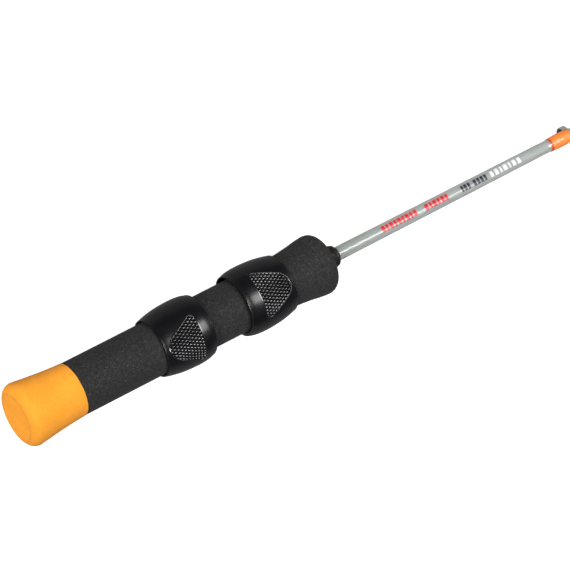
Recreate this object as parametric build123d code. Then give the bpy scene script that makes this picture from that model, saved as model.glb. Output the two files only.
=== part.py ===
from build123d import *
import math
import os

# Ice fishing rod with a straight foam grip and two sliding reel rings.
# Millimetres. The rod lies along +X with its butt face at the origin, the line guides hang towards -Z,
# and +Y is to the left of an angler who looks along the rod with the guides below.

# ---- overall and grip -------------------------------------------------------------------------------
rod_length = 580.0
cap_end = 29.0                  # the butt cap ends and the main grip begins
grip_end = 165.2
grip_radius = 12.5
cap_radius = 15.0
cap_edge_radius = 4.3
cap_edge_bend = 97.0            # degrees of the rounded edge, just past its crest where the taper begins
cap_side = [(12.0, 14.07), (20.0, 13.22)]
cap_joint_radius = 12.6         # the cap stands a little proud of the grip where the two meet
flare_start = 142.0
flare_radius = 14.2
flare_side = [(150.5, 13.2), (156.5, 13.98)]
flare_edge_radius = 4.8
check_end = 172.2
check_steps = [                 # distance in front of the grip, radius
    (0.0, 6.2), (1.7, 6.1), (1.9, 5.85), (3.4, 5.75), (3.6, 5.5), (4.6, 5.3), (6.3, 3.9), (7.0, 3.6),
]

# ---- blank ------------------------------------------------------------------------------------------
blank_start = 12.0
butt_radius = 3.3
tip_radius = 0.95
linear_taper = 0.001            # radius lost per mm just outside the grip
bond_thickness = 0.2
taper_step = 24.0

# ---- reel rings -------------------------------------------------------------------------------------
ring_length = 25.4
ring_bore_radius = 12.85
ring_crown = [                  # distance from the narrow end, radius
    (0.6, 13.8), (4.0, 14.65), (9.0, 15.48), (16.2, 15.95), (21.5, 15.62), (24.7, 14.75),
]
narrow_lip = [(0.0, 13.2), (0.17, 13.6)]
mouth_lip = [(25.2, 14.35), (ring_length, 13.8)]
rear_ring_x = 70.8              # narrow end of the rear ring
front_ring_x = 140.9            # narrow end of the front ring
rear_pocket_turn = 86.5         # degrees from +Z towards +Y
front_pocket_turn = 102.5
pad_turn = 96.8                 # each textured pad is this far round from the pocket
pad_point_x = 8.75              # centre of the pad's large round point, from the narrow end
pad_point_radius = 6.6
pad_corner_x = 16.45            # centres of its two small corners
pad_corner_side = 8.7
pad_corner_radius = 2.0
pad_depth = 0.35
mouth_reach = 14.2              # how far the pocket reaches from the axis at the mouth
mouth_pocket_radius = 10.6
narrow_reach = 13.3
narrow_pocket_radius = 8.2
rib_width = 0.7
rib_length = 8.0
rib_height = 2.2
rib_turn = 9.0

# ---- line guides ------------------------------------------------------------------------------------
guide_stations = [              # ring centre along the rod, outer diameter of the ring
    (310.3, 8.0),
    (392.0, 6.6),
    (463.0, 5.6),
    (524.0, 4.8),
]
band_thickness = 0.5
insert_thickness = 0.75
stand_off = 0.75                # clear gap between the blank and the nearest side of the ring
foot_thickness = 0.5
foot_width = 1.6                # widths and lengths of the smaller guides shrink with their rings
foot_gap = 0.03                 # keeps the foot just clear of the tapering blank
foot_toe = 0.15                 # thickness of the foot's tip
foot_ramp = 2.2                 # from the tip to the full thickness
foot_start = 0.8                # thread that lies on the blank before the foot begins
heel_back = 0.6                 # from the end of the thread back to where the leg rises
leg_overlap = 0.45              # how deep the leg runs into the band
guide_width = 2.6
wrap_length = 10.9
thread_thickness = 0.25
finish_thickness = 0.33
finish_edge = 0.06              # the clear coat is never thinner than this
finish_shoulder = 0.1           # its thickness at both ends of the thread
finish_over_foot = 0.12
trim_length = 1.1
wrap_to_ring = 2.6              # from the end of the thread wrap to the ring's centre
finish_overrun = 2.5            # how far the clear finish runs past the thread on the grip side
finish_lead = 1.5               # and on the tip side

# ---- tip-top ----------------------------------------------------------------------------------------
tip_ring_diameter = 4.6
tip_ring_width = 1.8
tip_tube_radius = 1.3
tip_tube_start = 570.5
tip_tube_end = 579.0
tip_tube_wall = 1.0             # closed end of the tube
tip_wrap_length = 7.0
tip_band_sink = 0.15            # the band is set this far into the tube
brace_length = 5.0
brace_width = 1.0


# ---- helpers ----------------------------------------------------------------------------------------
def turned(*edges):
    """A solid of revolution about the rod's axis from a closed outline in the XY plane."""
    return revolve(make_face(edges), Axis.X)


def turned_outline(points):
    """The same from straight lines only."""
    return turned(Polyline(*points, close=True))


def tube(start, end, outer, inner):
    return turned_outline([(start, inner), (end, inner), (end, outer), (start, outer)])


def drum(start, end, radius):
    return turned_outline([(start, 0), (end, 0), (end, radius), (start, radius)])


def across(x, sketch):
    """Stand a sketch square to the rod at x: sketch x becomes +Y and sketch y becomes +Z."""
    return Pos(x, 0, 0) * (Plane.YZ * sketch)


def blank_radius(x):
    """Radius of the blank: parallel inside the grip, then a taper that quickens towards the tip."""
    run = max(0.0, x - check_end)
    full_run = rod_length - check_end
    quickening = (butt_radius - tip_radius - linear_taper * full_run) / full_run**2
    return butt_radius - linear_taper * run - quickening * run**2


def save(shape, node):
    shape.label = node
    export_step(shape, f"parts/{node}.step")


# ---- grip -------------------------------------------------------------------------------------------
def butt_cap():
    flat_radius = cap_radius - cap_edge_radius

    def on_edge(bend):
        turn = math.radians(bend)
        return cap_edge_radius * (1 - math.cos(turn)), flat_radius + cap_edge_radius * math.sin(turn)

    edge_end = on_edge(cap_edge_bend)
    edge_middle = on_edge(cap_edge_bend / 2)
    side = Spline(edge_end, *cap_side, (cap_end, cap_joint_radius), tangents=[(1, -0.123), (1, -0.05)])
    body = turned(
        Line((0, 0), (0, flat_radius)),
        ThreePointArc((0, flat_radius), edge_middle, edge_end),
        side,
        Line((cap_end, cap_joint_radius), (cap_end, 0)),
        Line((cap_end, 0), (0, 0)),
    )
    return body - drum(blank_start, cap_end + 1, butt_radius)


def main_grip():
    edge_centre = (grip_end - flare_edge_radius, flare_radius - flare_edge_radius)
    bore = butt_radius + bond_thickness
    body = turned(
        Line((cap_end, bore), (cap_end, grip_radius)),
        Line((cap_end, grip_radius), (flare_start, grip_radius)),
        Spline((flare_start, grip_radius), *flare_side, (edge_centre[0], flare_radius),
               tangents=[(1, 0), (1, 0)]),
        CenterArc(edge_centre, flare_edge_radius, 0, 90),
        Line((grip_end, edge_centre[1]), (grip_end, bore)),
        Line((grip_end, bore), (cap_end, bore)),
    )
    return body


def winding_check():
    """The small stepped collar that closes the front of the grip around the blank."""
    steps = [(grip_end + run, radius) for run, radius in check_steps]
    return turned_outline([(grip_end, butt_radius)] + steps + [(check_end, butt_radius)])


def blank():
    stations = [check_end]
    while stations[-1] + taper_step < rod_length - 1:
        stations.append(stations[-1] + taper_step)
    stations.append(tip_tube_end - tip_tube_wall)
    outline = [(blank_start, 0), (blank_start, butt_radius)]
    outline += [(x, blank_radius(x)) for x in stations]
    outline.append((stations[-1], 0))
    return turned_outline(outline)


# ---- reel rings -------------------------------------------------------------------------------------
def ring_outline(inset):
    """Barrel outline of a reel ring with its narrow end at x = 0, taken in by inset all over."""
    crown = [(x, radius - inset) for x, radius in ring_crown]
    narrow = [(x, radius - inset) for x, radius in narrow_lip]
    mouth = [(x, radius - inset) for x, radius in mouth_lip]
    return turned(
        Line((0, 0), narrow[0]),
        ThreePointArc(*narrow, crown[0]),
        Spline(*crown, tangents=[(1, 0.36), (1, -0.42)]),
        ThreePointArc(crown[-1], *mouth),
        Line(mouth[-1], (ring_length, 0)),
        Line((ring_length, 0), (0, 0)),
    )


def pocket_space():
    """The hood that takes the reel foot: an oblique cone that opens towards +Z at the mouth."""
    narrow = across(-0.01, Pos(0, narrow_reach - narrow_pocket_radius) * Circle(narrow_pocket_radius))
    mouth_circle = Pos(0, mouth_reach - mouth_pocket_radius) * Circle(mouth_pocket_radius)
    mouth = across(ring_length + 0.01, mouth_circle)
    space = loft([narrow.face(), mouth.face()])
    for side in (-1, 1):
        rib = Pos(rib_length / 2, 0, narrow_reach) * Box(rib_length, rib_width, rib_height)
        space -= Rot(side * rib_turn, 0, 0) * rib
    return space


def pad_prism():
    """A rounded triangle that points at the narrow end, pushed out along +Z through the ring's wall."""
    rounds = [Pos(pad_point_x, 0) * Circle(pad_point_radius)]
    for side in (-1, 1):
        rounds.append(Pos(pad_corner_x, side * pad_corner_side) * Circle(pad_corner_radius))
    outline = make_hull([edge for disc in rounds for edge in disc.edges()])
    return Pos(0, 0, ring_bore_radius / 2) * extrude(outline, amount=ring_bore_radius)


def reel_ring():
    """One reel ring with its narrow end at x = 0, its mouth at +X and its pocket towards +Z."""
    ring = ring_outline(0) - drum(-1, ring_length + 1, ring_bore_radius)
    ring -= pocket_space()
    skin = ring_outline(0) - ring_outline(pad_depth)
    for side in (-1, 1):
        ring -= skin & (Rot(side * pad_turn, 0, 0) * pad_prism())
    return ring


def rear_ring():
    return Pos(rear_ring_x, 0, 0) * Rot(-rear_pocket_turn, 0, 0) * reel_ring()


def front_ring():
    turned_about = Rot(0, 0, 180) * reel_ring()
    return Pos(front_ring_x, 0, 0) * Rot(-front_pocket_turn, 0, 0) * turned_about


# ---- line guides ------------------------------------------------------------------------------------
def guide_size(ring_x, diameter):
    """The measures that one guide's pieces share."""
    scale = (diameter / guide_stations[0][1]) ** 0.5
    size = {
        "ring_x": ring_x,
        "radius": diameter / 2,
        "width": guide_width * scale,
        "wrap_end": ring_x - wrap_to_ring,
        "wrap_start": ring_x - wrap_to_ring - wrap_length * scale,
        "foot_width": foot_width * scale,
    }
    size["blank"] = blank_radius(size["wrap_start"])
    size["centre"] = -(blank_radius(ring_x) + stand_off + size["radius"])
    return size


def guide_frame(size):
    """Stamped band around the insert, with one leg down to a tapered foot under the thread."""
    inner = size["radius"] - band_thickness
    band = across(size["ring_x"] - size["width"] / 2, Circle(size["radius"]) - Circle(inner))
    band = Pos(0, 0, size["centre"]) * extrude(band, amount=size["width"])
    foot_top = -size["blank"] - foot_gap
    foot_low = foot_top - foot_thickness
    band_top = size["centre"] + size["radius"]
    heel = size["wrap_end"] - heel_back
    toe = size["wrap_start"] + foot_start
    band_back = size["ring_x"] - size["width"] / 2
    band_low = band_top - leg_overlap
    leg_outline = Polyline(
        (toe, foot_top), (heel, foot_top), (band_back + leg_overlap, band_top - 0.04),
        (band_back + leg_overlap, band_low), (band_back - 0.1, band_low), (heel - 0.3, foot_low),
        (toe + foot_ramp, foot_low), (toe, foot_top - foot_toe), close=True)
    leg = extrude(Plane.XZ * make_face(leg_outline), amount=size["foot_width"] / 2, both=True)
    clear = across(band_back - 1, Circle(inner))
    leg -= Pos(0, 0, size["centre"]) * extrude(clear, amount=size["width"] + 2)
    return band + leg


def ring_insert(ring_x, centre, outer, inner, width):
    """Hard ring with rounded lips that the line runs through."""
    lip = 0.35 * (outer - inner)
    outline = make_face(Polyline(
        (-width / 2, inner), (width / 2, inner), (width / 2, outer), (-width / 2, outer), close=True))
    rounded = fillet(outline.vertices().sort_by(Axis.Y)[:2], lip)
    return Pos(ring_x, 0, centre) * revolve(rounded, Axis.X)


def guide_insert(size):
    outer = size["radius"] - band_thickness
    return ring_insert(size["ring_x"], size["centre"], outer, outer - insert_thickness, size["width"] + 0.3)


def over_foot(size, extra):
    """Section of the thread over the blank and the foot below it, extra thicker over the foot."""
    cover = thread_thickness + extra
    ring = Circle(size["blank"] + thread_thickness + extra / 6)
    foot = Pos(0, -(size["blank"] + foot_gap + foot_thickness / 2)) * Rectangle(
        size["foot_width"] + 2 * cover, foot_thickness + 2 * cover)
    return make_hull(ring.edges() + foot.edges())


def thread_wrap(size, frame, rod):
    start = size["wrap_start"] + 0.1
    wrap = extrude(across(start, over_foot(size, 0)), amount=size["wrap_end"] - start)
    return wrap - rod - frame


def trim_band(size, rod):
    start = size["wrap_start"] - trim_length
    return drum(start, size["wrap_start"] + 0.1, size["blank"] + thread_thickness) - rod


def guide_finish(size, frame, wrap, trim, rod):
    """Clear coat, swollen in the middle and drawn down to the blank at both ends."""
    start = size["wrap_start"] - finish_overrun
    end = size["wrap_end"] + finish_lead
    crest = size["blank"] + thread_thickness + finish_thickness
    shoulder = size["blank"] + thread_thickness + finish_shoulder
    edge = size["blank"] + finish_edge
    coat = turned(
        Line((start, 0), (start, edge)),
        Spline((start, edge), (size["wrap_start"] - trim_length, shoulder), ((start + end) / 2, crest),
               (size["wrap_end"], shoulder), (end, edge)),
        Line((end, edge), (end, 0)),
        Line((end, 0), (start, 0)),
    )
    ridge = across(size["wrap_start"] + 0.4, over_foot(size, finish_over_foot))
    ridge = extrude(ridge, amount=size["wrap_end"] - size["wrap_start"] - 0.1)
    return coat + ridge - rod - frame - wrap - trim


# ---- tip-top ----------------------------------------------------------------------------------------
def tip_centre():
    return -(tip_tube_radius + tip_ring_diameter / 2 - tip_band_sink)


def tip_top_frame(rod):
    """Closed tube over the end of the blank, with a band for the insert below it."""
    sleeve = drum(tip_tube_start, tip_tube_end, tip_tube_radius)
    band_start = rod_length - tip_ring_width
    radius = tip_ring_diameter / 2
    hole = Circle(radius - band_thickness)
    band = Pos(0, 0, tip_centre()) * extrude(across(band_start, Circle(radius)), amount=tip_ring_width)
    brace_top = 0.4 - tip_tube_radius
    brace_outline = Polyline(
        (tip_tube_end - brace_length, brace_top), (tip_tube_end, brace_top),
        (tip_tube_end, tip_centre() + radius - 0.3), (band_start, tip_centre() + radius - 0.4), close=True)
    brace = extrude(Plane.XZ * make_face(brace_outline), amount=brace_width / 2, both=True)
    passage = Pos(0, 0, tip_centre()) * extrude(across(band_start - 1, hole), amount=tip_ring_width + 2)
    return sleeve + band + brace - passage - rod


def tip_top_insert():
    outer = tip_ring_diameter / 2 - band_thickness
    middle = rod_length - tip_ring_width / 2
    return ring_insert(middle, tip_centre(), outer, outer - insert_thickness, tip_ring_width)


def tip_wrap(rod):
    radius = blank_radius(tip_tube_start - tip_wrap_length) + thread_thickness
    return drum(tip_tube_start - tip_wrap_length, tip_tube_start, radius) - rod


def tip_trim(rod):
    end = tip_tube_start - tip_wrap_length
    return drum(end - trim_length, end, blank_radius(end) + thread_thickness) - rod


def tip_finish(frame, wrap, trim, rod):
    start = tip_tube_start - tip_wrap_length - finish_overrun
    end = tip_tube_start + finish_lead
    crest = tip_tube_radius + thread_thickness + finish_thickness / 2
    coat = turned(
        Line((start, 0), (start, blank_radius(start) + finish_edge)),
        Spline((start, blank_radius(start) + finish_edge), (start + 1.4, 1.5), (start + 5, crest),
               (end, tip_tube_radius + finish_edge)),
        Line((end, tip_tube_radius + finish_edge), (end, 0)),
        Line((end, 0), (start, 0)),
    )
    return coat - rod - frame - wrap - trim


# ---- build ------------------------------------------------------------------------------------------
os.makedirs("parts", exist_ok=True)

rod = blank()
save(butt_cap(), "butt_cap")
save(main_grip(), "main_grip")
save(winding_check(), "winding_check")
save(rod, "blank")
save(tube(cap_end, grip_end, butt_radius + bond_thickness, butt_radius), "grip_bond")
save(rear_ring(), "rear_ring")
save(front_ring(), "front_ring")

for number, (ring_x, diameter) in enumerate(guide_stations, start=1):
    size = guide_size(ring_x, diameter)
    frame = guide_frame(size)
    wrap = thread_wrap(size, frame, rod)
    trim = trim_band(size, rod)
    save(frame, f"guide_{number}_frame")
    save(guide_insert(size), f"guide_{number}_insert")
    save(wrap, f"guide_{number}_wrap")
    save(trim, f"guide_{number}_trim")
    save(guide_finish(size, frame, wrap, trim, rod), f"guide_{number}_finish")

tip_frame = tip_top_frame(rod)
save(tip_frame, "tip_top_frame")
save(tip_top_insert(), "tip_top_insert")
save(tip_wrap(rod), "tip_top_wrap")
save(tip_trim(rod), "tip_top_trim")
save(tip_finish(tip_frame, tip_wrap(rod), tip_trim(rod), rod), "tip_top_finish")
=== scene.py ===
from math import acos, asin, atan2, copysign, cos, degrees, hypot, pi, radians, sin, sqrt, tan

import bmesh
import bpy
from mathutils import Matrix, Vector


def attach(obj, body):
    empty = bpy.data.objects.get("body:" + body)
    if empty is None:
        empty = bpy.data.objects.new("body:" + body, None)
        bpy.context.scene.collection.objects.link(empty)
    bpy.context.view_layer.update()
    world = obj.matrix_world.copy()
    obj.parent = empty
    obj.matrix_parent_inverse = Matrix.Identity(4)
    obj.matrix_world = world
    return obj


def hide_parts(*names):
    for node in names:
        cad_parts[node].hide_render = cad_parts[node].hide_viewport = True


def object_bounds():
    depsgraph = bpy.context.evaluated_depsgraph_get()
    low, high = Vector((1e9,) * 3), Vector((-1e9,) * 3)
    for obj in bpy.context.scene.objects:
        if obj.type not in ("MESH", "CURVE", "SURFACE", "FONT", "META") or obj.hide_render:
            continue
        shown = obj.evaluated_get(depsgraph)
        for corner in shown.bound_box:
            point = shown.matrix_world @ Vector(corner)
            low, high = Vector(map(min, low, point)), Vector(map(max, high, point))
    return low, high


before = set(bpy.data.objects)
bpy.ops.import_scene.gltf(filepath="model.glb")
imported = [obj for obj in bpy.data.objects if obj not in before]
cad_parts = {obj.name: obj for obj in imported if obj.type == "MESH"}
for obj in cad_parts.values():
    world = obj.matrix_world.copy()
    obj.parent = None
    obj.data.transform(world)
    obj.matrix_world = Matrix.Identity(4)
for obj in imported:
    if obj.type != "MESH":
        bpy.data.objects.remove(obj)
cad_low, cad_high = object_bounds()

# Ice fishing rod. The rod lies along +X with its butt face at the origin and its line guides towards -Z.
# Shapes below are worked out in millimetres and written to Blender in metres.
MM = 0.001
TURN = 2 * pi
WELD = 1e-7                     # metres between vertices that count as one
scene = bpy.context.scene


# ---- mesh helpers --------------------
def add_piece(name, shape, material, body, slot=None, crease=38.0):
    """A piece from (vertices in millimetres, faces) on a body. With a slot it stands for its CAD node."""
    verts, faces = shape
    mesh = bpy.data.meshes.new(name)
    mesh.from_pydata([(x * MM, y * MM, z * MM) for x, y, z in verts], [], faces)
    bm = bmesh.new()
    bm.from_mesh(mesh)
    bmesh.ops.remove_doubles(bm, verts=bm.verts, dist=WELD)
    bmesh.ops.recalc_face_normals(bm, faces=bm.faces)
    bm.to_mesh(mesh)
    bm.free()
    mesh.polygons.foreach_set("use_smooth", [True] * len(mesh.polygons))
    mesh.set_sharp_from_angle(angle=radians(crease))
    mesh.materials.append(material)
    obj = bpy.data.objects.new(name, mesh)
    scene.collection.objects.link(obj)
    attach(obj, body)
    if slot:
        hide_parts(name)
    return obj


def polar(x, r, turn):
    """A point at radius r, turned by an angle from +Z towards +Y."""
    return (x, r * sin(turn), r * cos(turn))


def add_row(verts, points):
    """Adds points to the vertices and returns their indices."""
    start = len(verts)
    verts += points
    return list(range(start, len(verts)))


def bridged(rows):
    """Faces between neighbouring rows of vertices that run round; a row of one vertex is a point."""
    faces = []
    for a, b in zip(rows, rows[1:]):
        count = max(len(a), len(b))
        for k in range(count):
            n = (k + 1) % count
            if len(a) == 1:
                faces.append((a[0], b[k], b[n]))
            elif len(b) == 1:
                faces.append((a[k], b[0], a[n]))
            else:
                faces.append((a[k], b[k], b[n], a[n]))
    return faces


def lathe(profile, segments, closed=False):
    """Surface of revolution. A closed profile is a loop; an open one starts and ends on the rod's axis."""
    verts, rows = [], []
    for x, r in profile:
        around = segments if r > 0 else 1
        rows.append(add_row(verts, [polar(x, r, TURN * k / segments) for k in range(around)]))
    return verts, bridged(rows + rows[:1] if closed else rows)


def rounded(points, radii, steps=5):
    """A polyline with its inner corners rounded to the given radii, as far as its sides are long enough."""
    out = [points[0]]
    for before, corner, after, radius in zip(points, points[1:], points[2:], radii):
        corner = Vector(corner)
        a, b = Vector(before) - corner, Vector(after) - corner
        reach = min(radius / tan(a.angle(b) / 2), 0.49 * a.length, 0.49 * b.length)
        start, end = corner + a.normalized() * reach, corner + b.normalized() * reach
        for k in range(steps + 1):
            t = k / steps
            p = start * (1 - t) ** 2 + corner * 2 * t * (1 - t) + end * t**2
            out.append((p.x, p.y))
    out.append(points[-1])
    return out


def flowing(points, first, last, steps=8):
    """Smooth curve r(x) through points, with the given slopes at its two ends."""
    slopes = [first]
    for a, b, c in zip(points, points[1:], points[2:]):
        slopes.append((c[1] - a[1]) / (c[0] - a[0]))
    slopes.append(last)
    out = [points[0]]
    for (x0, r0), (x1, r1), m0, m1 in zip(points, points[1:], slopes, slopes[1:]):
        run = x1 - x0
        for k in range(1, steps + 1):
            t = k / steps
            r = ((2 * t**3 - 3 * t**2 + 1) * r0 + (t**3 - 2 * t**2 + t) * run * m0
                 + (3 * t**2 - 2 * t**3) * r1 + (t**3 - t**2) * run * m1)
            out.append((x0 + run * t, r))
    return out


def along(points, x):
    """Height of a polyline at x."""
    for (x0, r0), (x1, r1) in zip(points, points[1:]):
        if x <= x1:
            return r0 + (r1 - r0) * max(0.0, (x - x0) / (x1 - x0))
    return points[-1][1]


def smooth_step(low, high, value):
    """0 below low, 1 above high, and a soft rise between."""
    t = min(1.0, max(0.0, (value - low) / (high - low)))
    return t * t * (3 - 2 * t)


def signed_power(value, power):
    return copysign(abs(value) ** power, value)


def spread(low, high, step):
    """Even places from low to high, about a step apart."""
    count = max(1, round((high - low) / step))
    return [low + (high - low) * k / count for k in range(count + 1)]


# ---- materials --------------------
USUAL = (0.3, 0.7)              # most of a noise lies between these


def set_inputs(node, **values):
    """Plain values of a node's sockets, with _ for the spaces in their names."""
    for key, value in values.items():
        node.inputs[key.replace("_", " ")].default_value = value


class Nodes:
    """Short-hand for a material's node tree."""

    def __init__(self, name):
        self.material = bpy.data.materials.new(name)
        self.material.use_nodes = True
        self.tree = self.material.node_tree
        self.shader = self.tree.nodes["Principled BSDF"]
        self.coords = self.add("ShaderNodeTexCoord").outputs["Object"]

    def add(self, kind, **settings):
        node = self.tree.nodes.new(kind)
        for key, value in settings.items():
            setattr(node, key, value)
        return node

    def link(self, source, target):
        self.tree.links.new(source, target)

    def stretch(self, scale):
        node = self.add("ShaderNodeMapping")
        set_inputs(node, Scale=scale)
        self.link(self.coords, node.inputs["Vector"])
        return node.outputs["Vector"]

    def axes(self):
        node = self.add("ShaderNodeSeparateXYZ")
        self.link(self.coords, node.inputs["Vector"])
        return node.outputs

    def noise(self, scale, detail=3.0, roughness=0.5, vector=None):
        node = self.add("ShaderNodeTexNoise")
        set_inputs(node, Scale=scale, Detail=detail, Roughness=roughness)
        self.link(vector or self.coords, node.inputs["Vector"])
        return node.outputs["Fac"]

    def streaks(self, scale, detail=3.0, roughness=0.5):
        """Noise with its own scale along each axis."""
        return self.noise(1.0, detail, roughness, self.stretch(scale))

    def cells(self, scale):
        """Distance to the nearest cell's middle, and that cell's random value."""
        node = self.add("ShaderNodeTexVoronoi", feature="F1")
        set_inputs(node, Scale=scale)
        self.link(self.coords, node.inputs["Vector"])
        chance = self.add("ShaderNodeSeparateColor")
        self.link(node.outputs["Color"], chance.inputs["Color"])
        return node.outputs["Distance"], chance.outputs["Red"]

    def product(self, a, b):
        node = self.add("ShaderNodeMath", operation="MULTIPLY")
        self.link(a, node.inputs[0])
        self.link(b, node.inputs[1])
        return node.outputs[0]

    def specks(self, scale, share, inner, outer):
        """Mask of small round dots in a share of the cells."""
        distance, chance = self.cells(scale)
        return self.product(self.span(chance, 1.0 - share, 1.0 - 0.9 * share),
                            self.span(distance, inner, outer, 1.0, 0.0))

    def ramp(self, fac, stops):
        node = self.add("ShaderNodeValToRGB")
        bar = node.color_ramp
        while len(bar.elements) < len(stops):
            bar.elements.new(0.5)
        for element, (place, colour) in zip(bar.elements, stops):
            element.position = place
            element.color = (*colour, 1.0)
        self.link(fac, node.inputs["Fac"])
        return node.outputs["Color"]

    def between(self, noise, first, second):
        """Colour that goes from first to second over the usual span of a noise."""
        return self.ramp(noise, list(zip(USUAL, (first, second))))

    def span(self, fac, low, high, new_low=0.0, new_high=1.0):
        node = self.add("ShaderNodeMapRange")
        set_inputs(node, From_Min=low, From_Max=high, To_Min=new_low, To_Max=new_high)
        self.link(fac, node.inputs["Value"])
        return node.outputs["Result"]

    def blend(self, fac, a, b, mode="MIX"):
        node = self.add("ShaderNodeMix", data_type="RGBA", blend_type=mode)
        for socket, value in ((node.inputs["Factor"], fac), (node.inputs[6], a), (node.inputs[7], b)):
            if isinstance(value, tuple):
                socket.default_value = (*value, 1.0)
            elif isinstance(value, float):
                socket.default_value = value
            else:
                self.link(value, socket)
        return node.outputs[2]

    def relief(self, layers):
        """Bumped normal from a stack of (height, distance in millimetres, strength)."""
        normal = None
        for height, distance, strength in layers:
            node = self.add("ShaderNodeBump")
            set_inputs(node, Distance=distance * MM, Strength=strength)
            self.link(height, node.inputs["Height"])
            if normal is not None:
                self.link(normal, node.inputs["Normal"])
            normal = node.outputs["Normal"]
        return normal

    def bump(self, layers):
        self.link(self.relief(layers), self.shader.inputs["Normal"])

    def colour(self, socket):
        self.link(socket, self.shader.inputs["Base Color"])

    def roughness(self, noise, first, second):
        """Roughness that goes from first to second over the usual span of a noise."""
        self.link(self.span(noise, *USUAL, first, second), self.shader.inputs["Roughness"])

    def set(self, **values):
        set_inputs(self.shader, **values)


def foam(name, dark, mid, light, speck, speck_share, pale_speck, sheen, shine, crease_shade=None):
    """Closed-cell foam: fine grain, soft clouding, sparse specks and skin pores, and, when given, a painted
    shade line along a crease.
    """
    n = Nodes(name)
    grain = n.noise(2600.0, detail=2.0, roughness=0.6)
    _, bead = n.cells(1650.0)
    clouds = n.noise(95.0)
    base = n.blend(0.4, n.ramp(bead, [(0.0, dark), (0.5, mid), (1.0, light)]),
                   n.ramp(grain, [(0.36, dark), (0.50, mid), (0.66, light)]))
    base = n.blend(1.0, base, n.between(clouds, (0.90, 0.90, 0.90), (1.0, 1.0, 1.0)), "MULTIPLY")
    base = n.blend(n.specks(1500.0, speck_share, 0.18, 0.34), base, speck)
    base = n.blend(n.specks(1500.0, 0.06, 0.15, 0.32), base, pale_speck)
    # painted shade: a darker patchy line in the crease where the cap's flat end turns into its rounded edge
    if crease_shade:
        base = n.blend(crease_shade_line(n), base, crease_shade)
    n.colour(base)
    n.roughness(grain, 0.86, 0.74)
    pores, _ = n.cells(1700.0)
    n.bump([(n.span(pores, 0.0, 0.5), 0.10, 0.35), (grain, 0.12, 0.55), (clouds, 0.5, 0.08)])
    n.set(Specular_IOR_Level=shine, Sheen_Weight=sheen, Sheen_Roughness=0.6)
    return n.material


def crease_shade_line(n):
    """Patchy mask of a painted shade line in the crease where the flat end turns into the rounded edge."""
    radius = n.add("ShaderNodeVectorMath", operation="LENGTH")
    n.link(n.stretch((0.0, 1.0, 1.0)), radius.inputs[0])
    mask = n.span(n.noise(260.0, roughness=0.6), 0.38, 0.62, 0.25, 1.0)
    along_rod = n.axes()["X"]
    # the line's inner edge, its outer edge, and how far it reaches from the flat end, in metres
    for source, low, high, new_low, new_high in ((radius.outputs["Value"], 0.0101, 0.0109, 0.0, 0.6),
                                                 (radius.outputs["Value"], 0.0112, 0.0126, 1.0, 0.0),
                                                 (along_rod, 0.0009, 0.0020, 1.0, 0.0)):
        mask = n.product(mask, n.span(source, low, high, new_low, new_high))
    return mask


def moulded_plastic(name, smooth, rough, specular):
    """Black injection moulding with a faint skin and handling marks."""
    n = Nodes(name)
    patches = n.noise(140.0, detail=4.0, roughness=0.6)
    skin = n.noise(5200.0, detail=2.0)
    n.colour(n.between(patches, (0.0030, 0.0027, 0.0035), (0.0043, 0.0039, 0.0049)))
    n.roughness(patches, smooth, rough)
    scuffs = n.streaks((900.0, 5200.0, 5200.0), roughness=0.6)
    n.bump([(skin, 0.02, 0.10), (scuffs, 0.01, 0.08)])
    n.set(Specular_IOR_Level=specular, IOR=1.5)
    return n.material


def check_rubber():
    """Dark rubber with turning lines and a few orange specks."""
    n = Nodes("check_rubber")
    grain = n.noise(2600.0, roughness=0.6)
    lines = n.streaks((2600.0, 12.0, 12.0), detail=2.0)
    base = n.between(grain, (0.009, 0.0085, 0.008), (0.024, 0.022, 0.020))
    n.colour(n.blend(n.specks(1100.0, 0.05, 0.22, 0.36), base, (0.24, 0.10, 0.035)))
    n.roughness(lines, 0.46, 0.62)
    n.bump([(lines, 0.05, 0.35), (grain, 0.04, 0.25)])
    n.set(Specular_IOR_Level=0.4)
    return n.material


def glass_fibre():
    """Solid glass blank: grey-green resin with fibres drawn along its length, under a clear varnish."""
    n = Nodes("glass_fibre")
    fibres = n.streaks((28.0, 3600.0, 3600.0), detail=4.0, roughness=0.65)
    depth = n.streaks((9.0, 900.0, 900.0))
    base = n.ramp(fibres, [(0.25, (0.325, 0.345, 0.330)), (0.5, (0.360, 0.382, 0.365)),
                           (0.75, (0.398, 0.420, 0.402))])
    n.colour(n.blend(1.0, base, n.between(depth, (0.93, 0.95, 0.94), (1.0, 1.0, 1.0)), "MULTIPLY"))
    n.roughness(fibres, 0.30, 0.40)
    n.bump([(fibres, 0.012, 0.05)])
    # the varnish is fullest near the grip and thins to half between these two places, in metres
    n.link(n.span(n.axes()["X"], 0.19, 0.26, 1.0, 0.50), n.shader.inputs["Coat Weight"])
    n.set(Specular_IOR_Level=0.25, Coat_Roughness=0.07, Coat_IOR=1.5,
          Subsurface_Weight=1.0, Subsurface_Radius=(1.0, 1.0, 1.0), Subsurface_Scale=0.0035,
          Sheen_Weight=0.9, Sheen_Roughness=0.3)
    return n.material


def winding_thread(name, dark, mid, light):
    """Nylon thread: fine filaments that run round the rod, a little uneven in colour from turn to turn."""
    n = Nodes(name)
    filaments = n.streaks((16000.0, 700.0, 700.0), roughness=0.6)
    turns = n.streaks((2400.0, 90.0, 90.0), detail=2.0)
    base = n.ramp(filaments, [(0.25, dark), (0.5, mid), (0.75, light)])
    n.colour(n.blend(1.0, base, n.between(turns, (0.9, 0.9, 0.9), (1.0, 1.0, 1.0)), "MULTIPLY"))
    n.roughness(filaments, 0.7, 0.55)
    n.bump([(filaments, 0.02, 0.3)])
    n.set(Specular_IOR_Level=0.15, Subsurface_Weight=0.5, Subsurface_Radius=(1.0, 1.0, 1.0),
          Subsurface_Scale=0.0012)
    return n.material


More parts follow.
